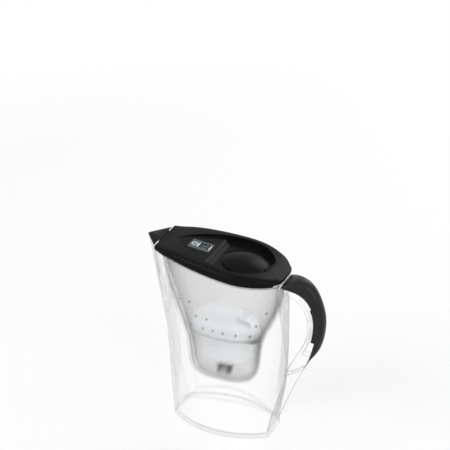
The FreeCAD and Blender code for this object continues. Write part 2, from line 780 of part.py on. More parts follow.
# Lid from front to rear: share of its length, share of the crest height
crestShares = ((0.0, 0.26), (0.12, 0.55), (0.30, 0.82), (0.52, 0.97), (0.72, 1.0), (0.86, 0.90),
               (0.94, 0.66), (1.0, 0.34))
# Pull of the scoop's two flats on the ramp between them, as a share of its length
rampShare = 0.55
# Top of a cross-section from the edge inwards: share of the crest's inset, share of the rise to the crest
rollShares = ((0.0, 0.0), (0.12, 0.45), (0.45, 0.86), (1.0, 1.0))


def crown(drop):
    # Arched top of the lid as cross-sections along its length, wider than the lid itself
    stations = [(-dim.lid_front + share * (dim.lid_front + lidRear), height * dim.crest_height)
                for share, height in crestShares]
    first, last = stations[0], stations[-1]
    stations = [(first[0] - dim.overrun, first[1])] + stations + [(last[0] + dim.overrun, last[1])]
    wires = []
    for x, crest in stations:
        half = lidPlan.halfAt(min(max(x, lidPlan.front), lidPlan.rear))
        edge = min(dim.edge_height, crest) - drop
        rise = crest - drop - edge
        low = rimPlane(x, -dim.skirt_depth - dim.overrun)
        right = [Vec(x, -half - dim.lid_overhang, rimPlane(x, edge - dim.edge_height))]
        right += [Vec(x, -half + a * dim.crest_inset, rimPlane(x, edge + b * rise)) for a, b in rollShares]
        left = [Vec(p.x, -p.y, p.z) for p in reversed(right)]
        corners = [Vec(x, left[-1].y, low), Vec(x, right[0].y, low)]
        arch = openCurve(right + [Vec(x, 0, rimPlane(x, crest - drop))] + left)
        wires.append(Part.Wire([line(corners[1], right[0]), arch, line(left[-1], corners[0]), line(*corners)]))
    return loft(wires)


recessPlan = Plan(-dim.recess_front, dim.recess_front_width / 2, dim.recess_widest, dim.recess_width / 2,
                  dim.recess_rear, dim.recess_rear_width / 2)


def recess(grow):
    # Scooped hollow: flat under the indicator, then down to the seat of the refill flap
    high, low = dim.recess_floor_height - grow, dim.scoop_floor_height - grow
    start, end = -dim.scoop_top, -dim.scoop_foot
    pull = rampShare * (end - start)
    bend = [(start, high), (start + pull, high), (end - pull, low), (end, low)]
    ramp = Part.BezierCurve()
    ramp.setPoles([Vec(x, 0, rimPlane(x, rise)) for x, rise in bend])
    front, rear = -dim.recess_front - dim.overrun, dim.recess_rear + dim.overrun
    roof = rimPlane(-dim.beak_point, dim.crest_height + dim.overrun)
    corners = [Vec(end, 0, rimPlane(end, low)), Vec(rear, 0, rimPlane(rear, low)), Vec(rear, 0, roof),
               Vec(front, 0, roof), Vec(front, 0, rimPlane(front, high)), Vec(start, 0, rimPlane(start, high))]
    side = slab([ramp.toShape()] + [line(a, b) for a, b in zip(corners, corners[1:])], 2 * dim.rim_width)
    plan = recessPlan.inset(-grow) if grow else recessPlan
    return plan.prism(at(-dim.overrun), dim.rim_height).common(side)


def rearSeat(grow):
    # Wedge behind the refill hinge that the rear cap fills
    front, rear = dim.cap_front - grow, lidRear + dim.overrun
    frontHalf, rearHalf = dim.cap_front_width / 2 + grow, dim.rim_rear_width / 2 + dim.lid_overhang + grow
    corners = [(front, -frontHalf), (lidRear, -rearHalf), (rear, -rearHalf),
               (rear, rearHalf), (lidRear, rearHalf), (front, frontHalf)]
    points = [Vec(x, y, rimPlane(x, dim.cap_floor_height - grow)) for x, y in corners]
    face = Part.Face(Part.Wire([line(a, b) for a, b in zip(points, points[1:] + points[:1])]))
    return face.extrude(Vec(0, 0, dim.rim_height))


slotHeight = rimPlane(-dim.slot_centre, dim.recess_floor_height)
slotPlace = FreeCAD.Placement(Vec(-dim.slot_centre, 0, slotHeight), tilted)
flapHeight = rimPlane(dim.flap_centre, dim.scoop_floor_height)
flapPlace = FreeCAD.Placement(Vec(dim.flap_centre, 0, flapHeight), tilted)
hingeX = dim.flap_length / 2 + dim.hinge_setback
spoutX, spoutZ = -dim.spout_axis_front, beakTop + dim.spout_axis_height


def placed(shape, placement):
    moved = shape.copy()
    moved.Placement = placement.multiply(moved.Placement)
    return moved


def indicatorPocket(grow):
    room = dim.indicator_gap + grow
    halfLong, halfWide = dim.indicator_length / 2 + room, dim.indicator_width / 2 + room
    high = 0 if grow else dim.overrun
    box = block(Vec(-halfLong, -halfWide, -dim.indicator_depth - room), Vec(halfLong, halfWide, high))
    return placed(box, slotPlace)


def ellipsePrism(length, width, low, high):
    edge = Part.Ellipse(Vec(0, 0, low), length / 2, width / 2).toShape()
    return Part.Face(Part.Wire([edge])).extrude(Vec(0, 0, high - low))


def makeLid():
    tall = dim.crest_height + dim.overrun
    blank = lidPlan.roundedPrism(at(-dim.skirt_depth), dim.skirt_depth + tall, 0, dim.lid_rear_radius)
    blank = blank.common(crown(0))
    ahead = block(Vec(-dim.beak_point, -dim.rim_width, 0),
                  Vec(-dim.lid_front, dim.rim_width, 2 * dim.rim_height))
    blank = blank.cut(ahead)
    mouth = rimPlan.inset(-dim.skirt_gap).prism(at(-dim.skirt_depth - dim.overrun),
                                                dim.skirt_depth + dim.overrun + dim.seat_gap)
    horns = block(Vec(dim.rim_rear - dim.overrun, -dim.horn_width, 0),
                  Vec(lidRear + dim.overrun, dim.horn_width, rimPlane(lidRear, dim.seat_gap)))
    cavity = rimPlan.inset(dim.lid_border).prism(at(-dim.overrun), tall + dim.overrun)
    cavity = cavity.common(crown(dim.lid_wall)).cut(recess(dim.lid_wall)).cut(rearSeat(dim.lid_wall))
    tray = recessPlan.inset(-dim.lid_wall / 2).prism(at(dim.scoop_floor_height - dim.lid_wall), dim.lid_wall)
    tray = tray.cut(block(Vec(-dim.rim_front, -dim.rim_width, 0),
                          Vec(-dim.scoop_foot - 2 * dim.lid_wall, dim.rim_width, 2 * dim.rim_height)))
    shell = blank.cut(mouth).cut(horns).cut(cavity).fuse(tray).cut(recess(0)).cut(rearSeat(0))
    shell = shell.fuse(indicatorPocket(dim.pocket_wall)).cut(indicatorPocket(0))
    opening = ellipsePrism(dim.refill_length, dim.refill_width, -dim.overrun, dim.overrun)
    shell = shell.cut(placed(opening, flapPlace))
    inner = dim.knuckle_width / 2 + dim.lug_play
    for side in (-1, 1):
        low, high = sorted((side * inner, side * (inner + dim.lug_width)))
        ear = rod(dim.lug_radius, hingeX, dim.hinge_height, low, high)
        ear = ear.fuse(block(Vec(hingeX - dim.lug_radius, low, -dim.lid_wall / 2),
                             Vec(hingeX + dim.lug_radius, high, dim.hinge_height)))
        boreRadius = dim.pin_radius + dim.pin_play
        bore = rod(boreRadius, hingeX, dim.hinge_height, low - dim.overrun, high + dim.overrun)
        shell = shell.fuse(placed(ear, flapPlace)).cut(placed(bore, flapPlace))
        inset = dim.spout_knuckle / 2 + dim.lug_play
        low, high = sorted((side * inset, side * (inset + dim.spout_ear)))
        ear = rod(dim.spout_barrel, spoutX, spoutZ, low, high)
        ear = ear.fuse(block(Vec(spoutX, low, spoutZ - dim.spout_barrel),
                             Vec(-dim.lid_front + dim.lid_wall, high, spoutZ)))
        boreRadius = dim.spout_pin_radius + dim.pin_play
        shell = shell.fuse(ear).cut(rod(boreRadius, spoutX, spoutZ, low - dim.overrun, high + dim.overrun))
    feature("lid_shell", shell.removeSplitter())
    cap = blank.common(rearSeat(-dim.cap_gap))
    relief = rearSeat(-dim.cap_gap - dim.lid_wall).common(crown(dim.lid_wall))
    relief.translate(Vec(-dim.lid_wall / 2, 0, -dim.lid_wall))
    feature("lid_rear_cap", cap.cut(relief).removeSplitter())


def capDome(drop):
    # Shallow elliptical cap over the flap's edge
    bend = ((dim.flap_width / 2) ** 2 + dim.flap_rise ** 2) / (2 * dim.flap_rise)
    ball = Part.makeSphere(bend, Vec(0, 0, dim.flap_rise - bend))
    stretch = FreeCAD.Matrix()
    stretch.scale(dim.flap_length / dim.flap_width, 1, 1)
    ball = ball.transformGeometry(stretch)
    ball.translate(Vec(0, 0, dim.flap_gap + dim.flap_edge - drop))
    return ball


def makeRefillFlap():
    edgeTop = dim.flap_gap + dim.flap_edge
    plate = ellipsePrism(dim.flap_length, dim.flap_width, dim.flap_gap, edgeTop)
    above = block(Vec(-dim.flap_length, -dim.flap_width, edgeTop),
                  Vec(dim.flap_length, dim.flap_width, dim.flap_width))
    flap = plate.fuse(capDome(0).common(above))
    hollow = ellipsePrism(dim.refill_length, dim.refill_width, -dim.overrun, dim.crest_height + dim.overrun)
    flap = flap.cut(hollow.common(capDome(dim.flap_wall)))
    half = dim.knuckle_width / 2
    axis = dim.hinge_height
    arm = block(Vec(hingeX - dim.arm_length, -half, axis - dim.arm_thickness / 2),
                Vec(hingeX, half, axis + dim.arm_thickness / 2))
    flap = flap.fuse(arm).fuse(rod(dim.lug_radius, hingeX, axis, -half, half))
    flap = flap.cut(rod(dim.pin_radius + dim.pin_play, hingeX, axis, -half - dim.overrun, half + dim.overrun))
    feature("refill_flap", flap.removeSplitter(), flapPlace)


# Heel of the spout flap behind its widest corners, as a share of the gap to its axis
heelShare = 0.25


def makeSpoutFlap():
    lean = math.atan2(dim.rim_front_width / 2, dim.beak_point - dim.rim_front)
    rear = spoutX - dim.spout_edge_gap
    low = beakTop + dim.spout_rest

    def outline(grow, height):
        point = -dim.beak_point - grow / math.sin(lean)
        half = (rear - point) * math.tan(lean)
        return beakWire(rear, half, point, dim.beak_nose_radius, rear + heelShare * dim.spout_edge_gap, height)

    high = low + dim.spout_thickness
    flap = loft([outline(dim.spout_overhang, low), outline(-dim.spout_chamfer, high)], True)
    half = dim.spout_knuckle / 2
    arm = block(Vec(rear - dim.spout_chamfer, -half, low), Vec(spoutX, half, high))
    for side in (-1, 1):
        near, far = sorted((side * half, side * (half + dim.spout_ear + 2 * dim.lug_play)))
        flap = flap.cut(rod(dim.spout_barrel + dim.lug_play, spoutX, spoutZ, near, far))
    flap = flap.fuse(arm).fuse(rod(dim.spout_barrel, spoutX, spoutZ, -half, half))
    bore = rod(dim.spout_pin_radius + dim.pin_play, spoutX, spoutZ, -half - dim.overrun, half + dim.overrun)
    feature("spout_flap", flap.cut(bore).removeSplitter())


def makePin(label, radius, length, end):
    # Plain steel pin along Y from the given end
    pin = doc.addObject("Part::Cylinder", label)
    pin.Label = label
    pin.setExpression("Radius", radius)
    pin.setExpression("Height", length)
    turn = FreeCAD.Rotation(Vec(1, 0, 0), -90)
    pin.Placement = FreeCAD.Placement(end, turn)


def makePins():
    half = dim.knuckle_width / 2 + dim.lug_play + dim.lug_width
    end = flapPlace.multVec(Vec(hingeX, -half, dim.hinge_height))
    length = "sizes.knuckle_width + 2 * (sizes.lug_play + sizes.lug_width)"
    makePin("refill_pin", "sizes.pin_radius", length, end)
    half = dim.spout_knuckle / 2 + dim.lug_play + dim.spout_ear
    length = "sizes.spout_knuckle + 2 * (sizes.lug_play + sizes.spout_ear)"
    makePin("spout_pin", "sizes.spout_pin_radius", length, Vec(spoutX, -half, spoutZ))


def plate(label, length, width, thickness, offset):
    body = newBody(label, slotPlace)
    pad(body, f"{label}_pad", rectangle(body, f"{label}_sketch", length, width, offset), thickness)
    return body


plateLow = "-sizes.plate_thickness"
panelLow = f"{plateLow} - sizes.stack_gap - sizes.panel_thickness"
boardHigh = f"{panelLow} - sizes.strip_height"
boardLow = f"{boardHigh} - sizes.board_thickness"
cellLow = f"{boardLow} - sizes.stack_gap - sizes.cell_thickness"
clipLow = f"{cellLow} - sizes.clip_thickness"
caseFloor = "-sizes.indicator_depth + sizes.case_wall"
# The button's collar hangs under the plate, a full stroke above the snap dome
collarHigh = f"{plateLow} - sizes.stack_gap / 2"
collarLow = f"{boardHigh} + sizes.dome_height + sizes.stack_gap + sizes.button_stroke"


def makeIndicatorShell():
    body = newBody("indicator_case", slotPlace)
    inset = "2 * sizes.plate_ledge"
    outer = rectangle(body, "case_outline", f"sizes.indicator_length - {inset}",
                      f"sizes.indicator_width - {inset}", ("0", "0", "-sizes.indicator_depth"))
    pad(body, "case_block", outer, "sizes.indicator_depth - sizes.plate_thickness")
    inset = "2 * (sizes.plate_ledge + sizes.case_wall)"
    hollow = rectangle(body, "case_hollow_sketch", f"sizes.indicator_length - {inset}",
                       f"sizes.indicator_width - {inset}", ("0", "0", plateLow))
    pocket(body, "case_hollow", hollow, "sizes.indicator_depth - sizes.plate_thickness - sizes.case_wall")
    for number, (alongX, alongY) in enumerate(((-1, -1), (1, -1), (1, 1), (-1, 1))):
        spot = (f"{alongX} * (sizes.board_length - sizes.corner_post) / 2",
                f"{alongY} * (sizes.board_width - sizes.corner_post) / 2", caseFloor)
        post = rectangle(body, f"case_post_sketch_{number}", "sizes.corner_post", "sizes.corner_post", spot)
        pad(body, f"case_post_{number}", post, f"{boardLow} - ({caseFloor})")
    cover = plate("indicator_cover", "sizes.indicator_length", "sizes.indicator_width", "sizes.plate_thickness",
                  ("0", "0", plateLow))
    window = rectangle(cover, "cover_window_sketch", "sizes.window_length", "sizes.window_width",
                       ("sizes.window_offset", "0", "0"))
    pocket(cover, "cover_window", window, "2 * sizes.plate_thickness")
    hole = disc(cover, "cover_hole_sketch", "sizes.button_radius + sizes.button_play",
                ("sizes.button_offset", "0", "0"))
    pocket(cover, "cover_hole", hole, "2 * sizes.plate_thickness")


def makeIndicatorInside():
    plate("display_window", "sizes.window_length - 2 * sizes.stack_gap",
          "sizes.window_width - 2 * sizes.stack_gap", "sizes.window_thickness",
          ("sizes.window_offset", "0", "-sizes.window_thickness"))
    plate("display_panel", "sizes.panel_length", "sizes.panel_width", "sizes.panel_thickness",
          ("sizes.window_offset", "0", panelLow))
    strips = newBody("contact_strips", slotPlace)
    gap = "(sizes.panel_width - sizes.strip_width) / 2"
    for number, side in enumerate(("-1", "1")):
        spot = ("sizes.window_offset", f"{side} * {gap}", boardHigh)
        strip = rectangle(strips, f"contact_strip_sketch_{number}", "sizes.panel_length",
                          "sizes.strip_width", spot)
        pad(strips, f"contact_strip_{number}", strip, "sizes.strip_height")
    plate("circuit_board", "sizes.board_length", "sizes.board_width", "sizes.board_thickness",
          ("0", "0", boardLow))
    cell = newBody("coin_cell", slotPlace)
    pad(cell, "coin_cell_pad", disc(cell, "coin_cell_sketch", "sizes.cell_radius", ("0", "0", cellLow)),
        "sizes.cell_thickness")
    clip = plate("battery_clip", "sizes.clip_length", "sizes.clip_width", "sizes.clip_thickness",
                 ("0", "0", clipLow))
    for number, side in enumerate(("-1", "1")):
        spot = (f"{side} * (sizes.clip_length - sizes.clip_thickness) / 2", "0", clipLow)
        leg = rectangle(clip, f"battery_leg_sketch_{number}", "sizes.clip_thickness", "sizes.clip_width", spot)
        pad(clip, f"battery_leg_{number}", leg, f"{boardLow} - ({clipLow})")
    button = newBody("start_button", slotPlace)
    spot = ("sizes.button_offset", "0", collarLow)
    collar = disc(button, "button_collar_sketch", "sizes.button_radius + sizes.button_collar", spot)
    pad(button, "button_collar_pad", collar, f"{collarHigh} - ({collarLow})")
    stem = disc(button, "button_stem_sketch", "sizes.button_radius", spot)
    pad(button, "button_stem", stem, f"sizes.button_proud - ({collarLow})")
    dome = newBody("button_dome", slotPlace)
    spot = ("sizes.button_offset", "0", boardHigh)
    snap = disc(dome, "button_dome_sketch", "sizes.dome_radius", spot)
    pad(dome, "button_dome_pad", snap, "sizes.dome_height")


makeJug()
makeHandleGrip()
makeHopper()
makeOutletPost()
makeCartridgeCup()
makeCartridgeFilling()
makeCartridgeCap()
makeLid()
makeRefillFlap()
makeSpoutFlap()
makePins()
makeIndicatorShell()
makeIndicatorInside()
doc.recompute()

pieces = [item for item in doc.Objects
          if item.isDerivedFrom("Part::Feature") and not item.getParentGeoFeatureGroup()]
for item in doc.Objects:
    if "Invalid" in item.State or "Error" in item.State:
        raise RuntimeError(f"{item.Name} failed: {item.State}")
    if item.isDerivedFrom("PartDesign::Pocket") and item.Shape.Volume >= item.BaseFeature.Shape.Volume:
        raise RuntimeError(f"{item.Name} cuts nothing")
for piece in pieces:
    if piece.Shape.isNull() or not piece.Shape.isValid() or not piece.Shape.Solids:
        raise RuntimeError(f"{piece.Label} has no valid solid")
os.makedirs("parts", exist_ok=True)
for piece in pieces:
    piece.Shape.exportStep(f"parts/{piece.Label}.step")
    print(piece.Label, len(piece.Shape.Solids), round(piece.Shape.Volume))
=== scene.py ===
import json
import math
import bpy
import bmesh
from mathutils import Matrix, Vector
from mathutils.bvhtree import BVHTree


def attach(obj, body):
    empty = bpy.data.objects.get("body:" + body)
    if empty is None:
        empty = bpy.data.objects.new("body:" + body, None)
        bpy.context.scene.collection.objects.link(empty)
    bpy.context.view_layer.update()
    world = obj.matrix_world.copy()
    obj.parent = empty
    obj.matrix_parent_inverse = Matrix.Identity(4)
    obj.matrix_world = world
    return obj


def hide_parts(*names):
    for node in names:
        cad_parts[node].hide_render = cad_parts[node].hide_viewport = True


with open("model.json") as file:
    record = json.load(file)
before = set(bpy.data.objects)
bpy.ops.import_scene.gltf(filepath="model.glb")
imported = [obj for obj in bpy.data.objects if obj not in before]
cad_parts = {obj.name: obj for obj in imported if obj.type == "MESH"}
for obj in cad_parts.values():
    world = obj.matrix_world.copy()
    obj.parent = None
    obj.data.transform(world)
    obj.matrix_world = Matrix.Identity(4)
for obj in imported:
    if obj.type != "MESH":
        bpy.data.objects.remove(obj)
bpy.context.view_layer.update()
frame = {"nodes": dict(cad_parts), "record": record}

scene = bpy.context.scene
scene.view_settings.view_transform = "Standard"
mm = 0.001
print("stage: frame loaded,", len(frame["nodes"]), "nodes")


# Shader sockets that take part in plain arithmetic
class Value:
    def __init__(self, finish, link):
        self.finish = finish
        self.link = link

    def maths(self, operation, other, swapped=False):
        pair = (other, self) if swapped else (self, other)
        return self.finish.node("ShaderNodeMath", {"operation": operation}, {0: pair[0], 1: pair[1]})

    def __add__(self, other):
        return self.maths("ADD", other)

    def __radd__(self, other):
        return self.maths("ADD", other, True)

    def __sub__(self, other):
        return self.maths("SUBTRACT", other)

    def __rsub__(self, other):
        return self.maths("SUBTRACT", other, True)

    def __mul__(self, other):
        return self.maths("MULTIPLY", other)

    def __rmul__(self, other):
        return self.maths("MULTIPLY", other, True)

    def __gt__(self, other):
        return self.maths("GREATER_THAN", other)

    def __lt__(self, other):
        return self.maths("LESS_THAN", other)


# The node tree of a material or of the world
class Finish:
    def __init__(self, owner):
        self.owner = owner
        owner.use_nodes = True
        self.tree = owner.node_tree
        self.tree.nodes.clear()

    def node(self, kind, settings=None, sockets=None, out=0):
        made = self.tree.nodes.new(kind)
        for key, value in (settings or {}).items():
            setattr(made, key, value)
        for key, value in (sockets or {}).items():
            if isinstance(value, Value):
                self.tree.links.new(value.link, made.inputs[key])
            else:
                made.inputs[key].default_value = value
        return Value(self, made.outputs[out])

    def place(self):
        return self.node("ShaderNodeTexCoord", out="Object")

    def noise(self, scale, detail=3.0, place=None):
        return self.node("ShaderNodeTexNoise", None,
                         {"Vector": place or self.place(), "Scale": scale, "Detail": detail})

    def height(self, vector):
        return self.node("ShaderNodeSeparateXYZ", None, {"Vector": vector}, "Z")

    def ray(self, kind):
        return self.node("ShaderNodeLightPath", out=kind)

    def seen(self):
        # Rays that come straight from the camera, or by way of gloss and glass
        made = self.ray("Is Camera Ray")
        for kind in ("Is Glossy Ray", "Is Transmission Ray"):
            made = made.maths("MAXIMUM", self.ray(kind))
        return made

    def mixColour(self, factor, first, second):
        return self.node("ShaderNodeMix", {"data_type": "RGBA"}, {0: factor, 6: first, 7: second}, 2)

    def mixShader(self, factor, first, second):
        return self.node("ShaderNodeMixShader", None, {0: factor, 1: first, 2: second})

    def bevel(self, radius, samples):
        return self.node("ShaderNodeBevel", {"samples": samples}, {"Radius": radius})

    def bump(self, height, strength, distance, **sockets):
        return self.node("ShaderNodeBump", None,
                         {"Height": height, "Strength": strength, "Distance": distance, **sockets})

    def shader(self, **sockets):
        names = {key.replace("_", " "): value for key, value in sockets.items()}
        return self.node("ShaderNodeBsdfPrincipled", None, names)

    def output(self, shader, kind="ShaderNodeOutputMaterial"):
        end = self.tree.nodes.new(kind)
        self.tree.links.new(shader.link, end.inputs["Surface"])
        return self.owner


def newFinish(name):
    return Finish(bpy.data.materials.new(name))


def grey(level):
    return (level, level, level, 1.0)


def mouldedPlastic(name, dark, light, rough, grain=2600.0, shine=0.5):
    # Satin moulding: slow cloud in colour and gloss, fine spark-eroded grain, slightly rounded edges
    look = {"cloud": 38.0, "glossShare": 0.10, "grainShare": 0.35, "grainDepth": 0.02 * mm, "edge": 0.5 * mm}
    made = newFinish(name)
    cloud = made.noise(look["cloud"])
    fine = made.noise(grain, detail=2.0)
    eased = made.bevel(look["edge"], samples=6)
    return made.output(made.shader(
        Base_Color=made.mixColour(cloud, dark, light), Roughness=cloud * look["glossShare"] + rough,
        Specular_IOR_Level=shine, Normal=made.bump(fine, look["grainShare"], look["grainDepth"], Normal=eased)))


def clearPlastic(name, tint, grazingTintAndShade, edgeShadeTint, shadeTint, rough, index, steep, edgeShadeWidth, edgeShadeFrom=-1.0, foot=0.0):
    # Clear moulding: greyer where the wall turns away, partly the wall's own tint and partly painted shade for
    # refraction; a fine line of painted shade along each edge for refraction at rounded edges; a grey foot; a pale
    # shadow
    look = {"flow": 22.0, "flowShare": 0.08, "flowDepth": 0.25 * mm, "haze": 160.0, "hazeShare": 0.02,
            "edgeShadeGain": 8.0, "uprightBelow": 0.6, "footShare": 0.3, "straightShare": 0.5}
    made = newFinish(name)
    flow = made.noise(look["flow"], detail=1.0)
    haze = made.noise(look["haze"], detail=4.0)
    normal = made.node("ShaderNodeNewGeometry", out="Normal")
    eased = made.bevel(edgeShadeWidth, samples=8)
    level = made.node("ShaderNodeVectorMath", {"operation": "DOT_PRODUCT"}, {0: eased, 1: normal}, "Value")
    height = made.height(made.place())
    # Painted shade along the edges, for refraction at rounded edges
    edgeShade = ((1.0 - level) * look["edgeShadeGain"]).maths("MINIMUM", 1.0) * (height > edgeShadeFrom)
    upright = made.height(normal).maths("ABSOLUTE", 0.0) < look["uprightBelow"]
    # Greyer where the wall turns away: partly the wall's own tint, partly painted shade for refraction
    turned = made.node("ShaderNodeLayerWeight", None, {"Blend": 0.5}, "Facing").maths("POWER", steep)
    grazingShadeAndFoot = turned.maths("MAXIMUM", (height < foot) * upright * look["footShare"])
    wall = made.shader(Base_Color=made.mixColour(edgeShade, made.mixColour(grazingShadeAndFoot, tint, grazingTintAndShade), edgeShadeTint),
                       Transmission_Weight=1.0, IOR=index, Roughness=haze * look["hazeShare"] + rough,
                       Normal=made.bump(flow, look["flowShare"], look["flowDepth"]))
    # Pass-through colours: plain, greyer where turned away (partly painted shade), painted edge shade, and the
    # shadow
    plain, edge, edgeShadePass, shade = [made.node("ShaderNodeBsdfTransparent", None, {"Color": colour})
                                for colour in (tint, grazingTintAndShade, edgeShadeTint, shadeTint)]
    straight = made.mixShader(edgeShade, made.mixShader(grazingShadeAndFoot, plain, edge), edgeShadePass)
    body = made.mixShader(look["straightShare"], wall, straight)
    return made.output(made.mixShader(made.ray("Is Shadow Ray"), body, shade))


def metal(name, colour, rough, stretch):
    # Bare metal with fine streaks along one way
    look = {"streak": 900.0, "glossShare": 0.2, "streakShare": 0.2, "streakDepth": 0.01 * mm}
    made = newFinish(name)
    brushed = made.node("ShaderNodeMapping", None, {"Vector": made.place(), "Scale": stretch})
    streak = made.noise(look["streak"], place=brushed)
    return made.output(made.shader(
        Base_Color=colour, Metallic=1.0, Roughness=streak * look["glossShare"] + rough,
        Normal=made.bump(streak, look["streakShare"], look["streakDepth"])))


def wovenMesh(name, colour, pitch):
    # Fine square mesh, drawn by two sets of threads
    look = {"gap": grey(0.12), "rough": 0.75, "threadShare": 0.6, "threadDepth": 0.15 * mm}
    made = newFinish(name)
    along, across = [made.node("ShaderNodeTexWave", {"bands_direction": axis},
                               {"Vector": made.place(), "Scale": pitch}, "Fac") for axis in ("X", "Y")]
    cloth = along.maths("MAXIMUM", across)
    return made.output(made.shader(Base_Color=made.mixColour(cloth, look["gap"], colour), Roughness=look["rough"],
                                   Normal=made.bump(cloth, look["threadShare"], look["threadDepth"])))


def granules(name):
    # Black carbon grains with amber resin beads among them
    look = {"grains": 900.0, "kinds": 1500.0, "beadsAbove": 0.55, "carbon": grey(0.018),
            "resin": (0.42, 0.30, 0.14, 1), "rough": 0.6, "grainShare": 0.8, "grainDepth": 0.5 * mm}
    made = newFinish(name)
    grains = made.node("ShaderNodeTexVoronoi", None, {"Vector": made.place(), "Scale": look["grains"]})
    beads = made.noise(look["kinds"], detail=1.0) > look["beadsAbove"]
    return made.output(made.shader(Base_Color=made.mixColour(beads, look["carbon"], look["resin"]),
                                   Roughness=look["rough"],
                                   Normal=made.bump(grains, look["grainShare"], look["grainDepth"])))


finishes = {
    "clear_jug": clearPlastic(
        "clearStyrene", tint=grey(0.998), grazingTintAndShade=grey(0.36), edgeShadeTint=grey(0.38), shadeTint=grey(0.88), rough=0.0,
        index=1.10, steep=5.0, edgeShadeWidth=1.3 * mm, foot=7.5 * mm),
    "smoke_hopper": clearPlastic(
        "smokeStyrene", tint=grey(0.925), grazingTintAndShade=grey(0.07), edgeShadeTint=grey(0.14), shadeTint=grey(0.88), rough=0.03,
        index=1.08, steep=2.5, edgeShadeWidth=1.0 * mm, edgeShadeFrom=205.0 * mm),
    "display_glass": clearPlastic(
        "displayWindow", tint=grey(0.95), grazingTintAndShade=grey(0.7), edgeShadeTint=grey(0.8), shadeTint=grey(0.9), rough=0.0,
        index=1.01, steep=4.0, edgeShadeWidth=0.2 * mm),
    "smoke_pip": mouldedPlastic("smokePip", grey(0.07), grey(0.10), rough=0.3),
    # Near-black for the painted shade strip on the funnel's ledge
    "ledge_shade_dark": mouldedPlastic("ledgeShadeDark", grey(0.035), grey(0.05), rough=0.4),
    "black_lid": mouldedPlastic("blackSatin", grey(0.004), grey(0.008), rough=0.25, shine=0.05),
    "grip_black": mouldedPlastic("gripSatin", grey(0.008), grey(0.014), rough=0.32, shine=0.22),
    "dark_post": mouldedPlastic("darkGreyMatt", grey(0.09), grey(0.12), rough=0.5),
    "white_cartridge": mouldedPlastic("whiteSatin", (0.89, 0.91, 0.93, 1), (0.93, 0.95, 0.96, 1), rough=0.38,
                                      grain=1800.0),
    "indicator_slate": mouldedPlastic("slateSatin", (0.022, 0.036, 0.045, 1), (0.03, 0.047, 0.058, 1), rough=0.34),
    "pale_button": mouldedPlastic("greyButton", (0.15, 0.19, 0.21, 1), (0.19, 0.23, 0.25, 1), rough=0.4),
    # Painted shade: a darker copy of the slate, so the indicator case's sides read darker than the lit top plate
    "slate_shaded_copy": mouldedPlastic("slateShadedCopy", (0.006, 0.009, 0.011, 1), (0.009, 0.013, 0.015, 1), rough=0.4,
                                 shine=0.2),
    "white_print": mouldedPlastic("whitePrint", (0.72, 0.80, 0.82, 1), (0.78, 0.85, 0.87, 1), rough=0.5),
    "dark_print": mouldedPlastic("darkPrint", grey(0.006), grey(0.010), rough=0.5),
    "display_panel": mouldedPlastic("displayGrey", (0.10, 0.125, 0.13, 1), (0.12, 0.145, 0.15, 1), rough=0.3),
    "contact_rubber": mouldedPlastic("contactRubber", (0.55, 0.40, 0.38, 1), (0.65, 0.50, 0.47, 1), rough=0.7),
    "board_green": mouldedPlastic("boardLacquer", (0.012, 0.10, 0.045, 1), (0.02, 0.14, 0.06, 1), rough=0.25,
                                  grain=400.0),
    "filter_screen": wovenMesh("screenMesh", grey(0.7), pitch=300.0),
    "filter_granules": granules("carbonGranules"),
    "steel_pin": metal("groundSteel", grey(0.55), rough=0.22, stretch=(1, 1, 0.05)),
    "cell_steel": metal("cellNickel", grey(0.62), rough=0.2, stretch=(1, 0.1, 1)),
    "spring_steel": metal("springStrip", (0.58, 0.54, 0.47, 1), rough=0.25, stretch=(0.1, 1, 1)),
}
print("stage: finishes made,", len(finishes))


def piece(name, bm, body, slotName, smoothAngle, finishName=None):
    # A finished bmesh becomes a piece that rides on its body, smooth up to an angle in degrees
    for face in bm.faces:
        face.smooth = True
    for edge in bm.edges:
        edge.smooth = len(edge.link_faces) == 2 and edge.calc_face_angle() < math.radians(smoothAngle)
    mesh = bpy.data.meshes.new(name)
    bm.to_mesh(mesh)
    bm.free()
    made = bpy.data.objects.new(name, mesh)
    scene.collection.objects.link(made)
    mesh.materials.append(finishes[finishName or slotName])
    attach(made, body)
    return made


def mergedCopy(node):
    # The solid's own triangles, joined at their shared corners
    joinWithin = 0.002 * mm
    bm = bmesh.new()
    bm.from_mesh(frame["nodes"][node].data)
    bmesh.ops.remove_doubles(bm, verts=bm.verts, dist=joinWithin)
    bmesh.ops.dissolve_degenerate(bm, edges=bm.edges, dist=joinWithin)
    return bm


bodyOf = {node: body for body, nodes in frame["record"]["behaviour"]["bodies"].items() for node in nodes}
slotOf = {row["node"]: row["material_slot"] for row in frame["record"]["subparts"]}
# The indicator case takes the darker slate copy as painted shade for its sides
finishOf = {"indicator_case": "slate_shaded_copy", "handle_grip": "grip_black"}

# Curved mouldings: smooth surfaces, with crisp edges above an angle in degrees
smoothed = {"jug": 32, "handle_grip": 50, "hopper": 35, "lid_shell": 35, "lid_rear_cap": 35, "spout_flap": 35,
            "refill_flap": 40, "cartridge_cup": 35, "cartridge_cap": 35, "outlet_post": 35, "spout_pin": 40,
            "refill_pin": 40, "start_button": 40, "coin_cell": 40, "button_dome": 40}
for node, angle in smoothed.items():
    made = piece(node + "_moulding", mergedCopy(node), bodyOf[node], slotOf[node], angle, finishOf.get(node))
    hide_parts(node)
for node, item in frame["nodes"].items():
    if node not in smoothed:
        item.data.materials.clear()
        item.data.materials.append(finishes[finishOf.get(node, slotOf[node])])
print("stage: mouldings dressed,", len(smoothed))


def wallTree(node):
    # The solid's surface, ready to be met by a straight line
    bm = mergedCopy(node)
    made = BVHTree.FromBMesh(bm)
    bm.free()
    return made


def seat(tree, start, way):
    # A frame standing on the surface, its third axis straight out of the wall
    spot, normal = tree.ray_cast(Vector(start) * mm, Vector(way))[:2]
    return Matrix.Translation(spot) @ normal.to_track_quat("Z", "Y").to_matrix().to_4x4()


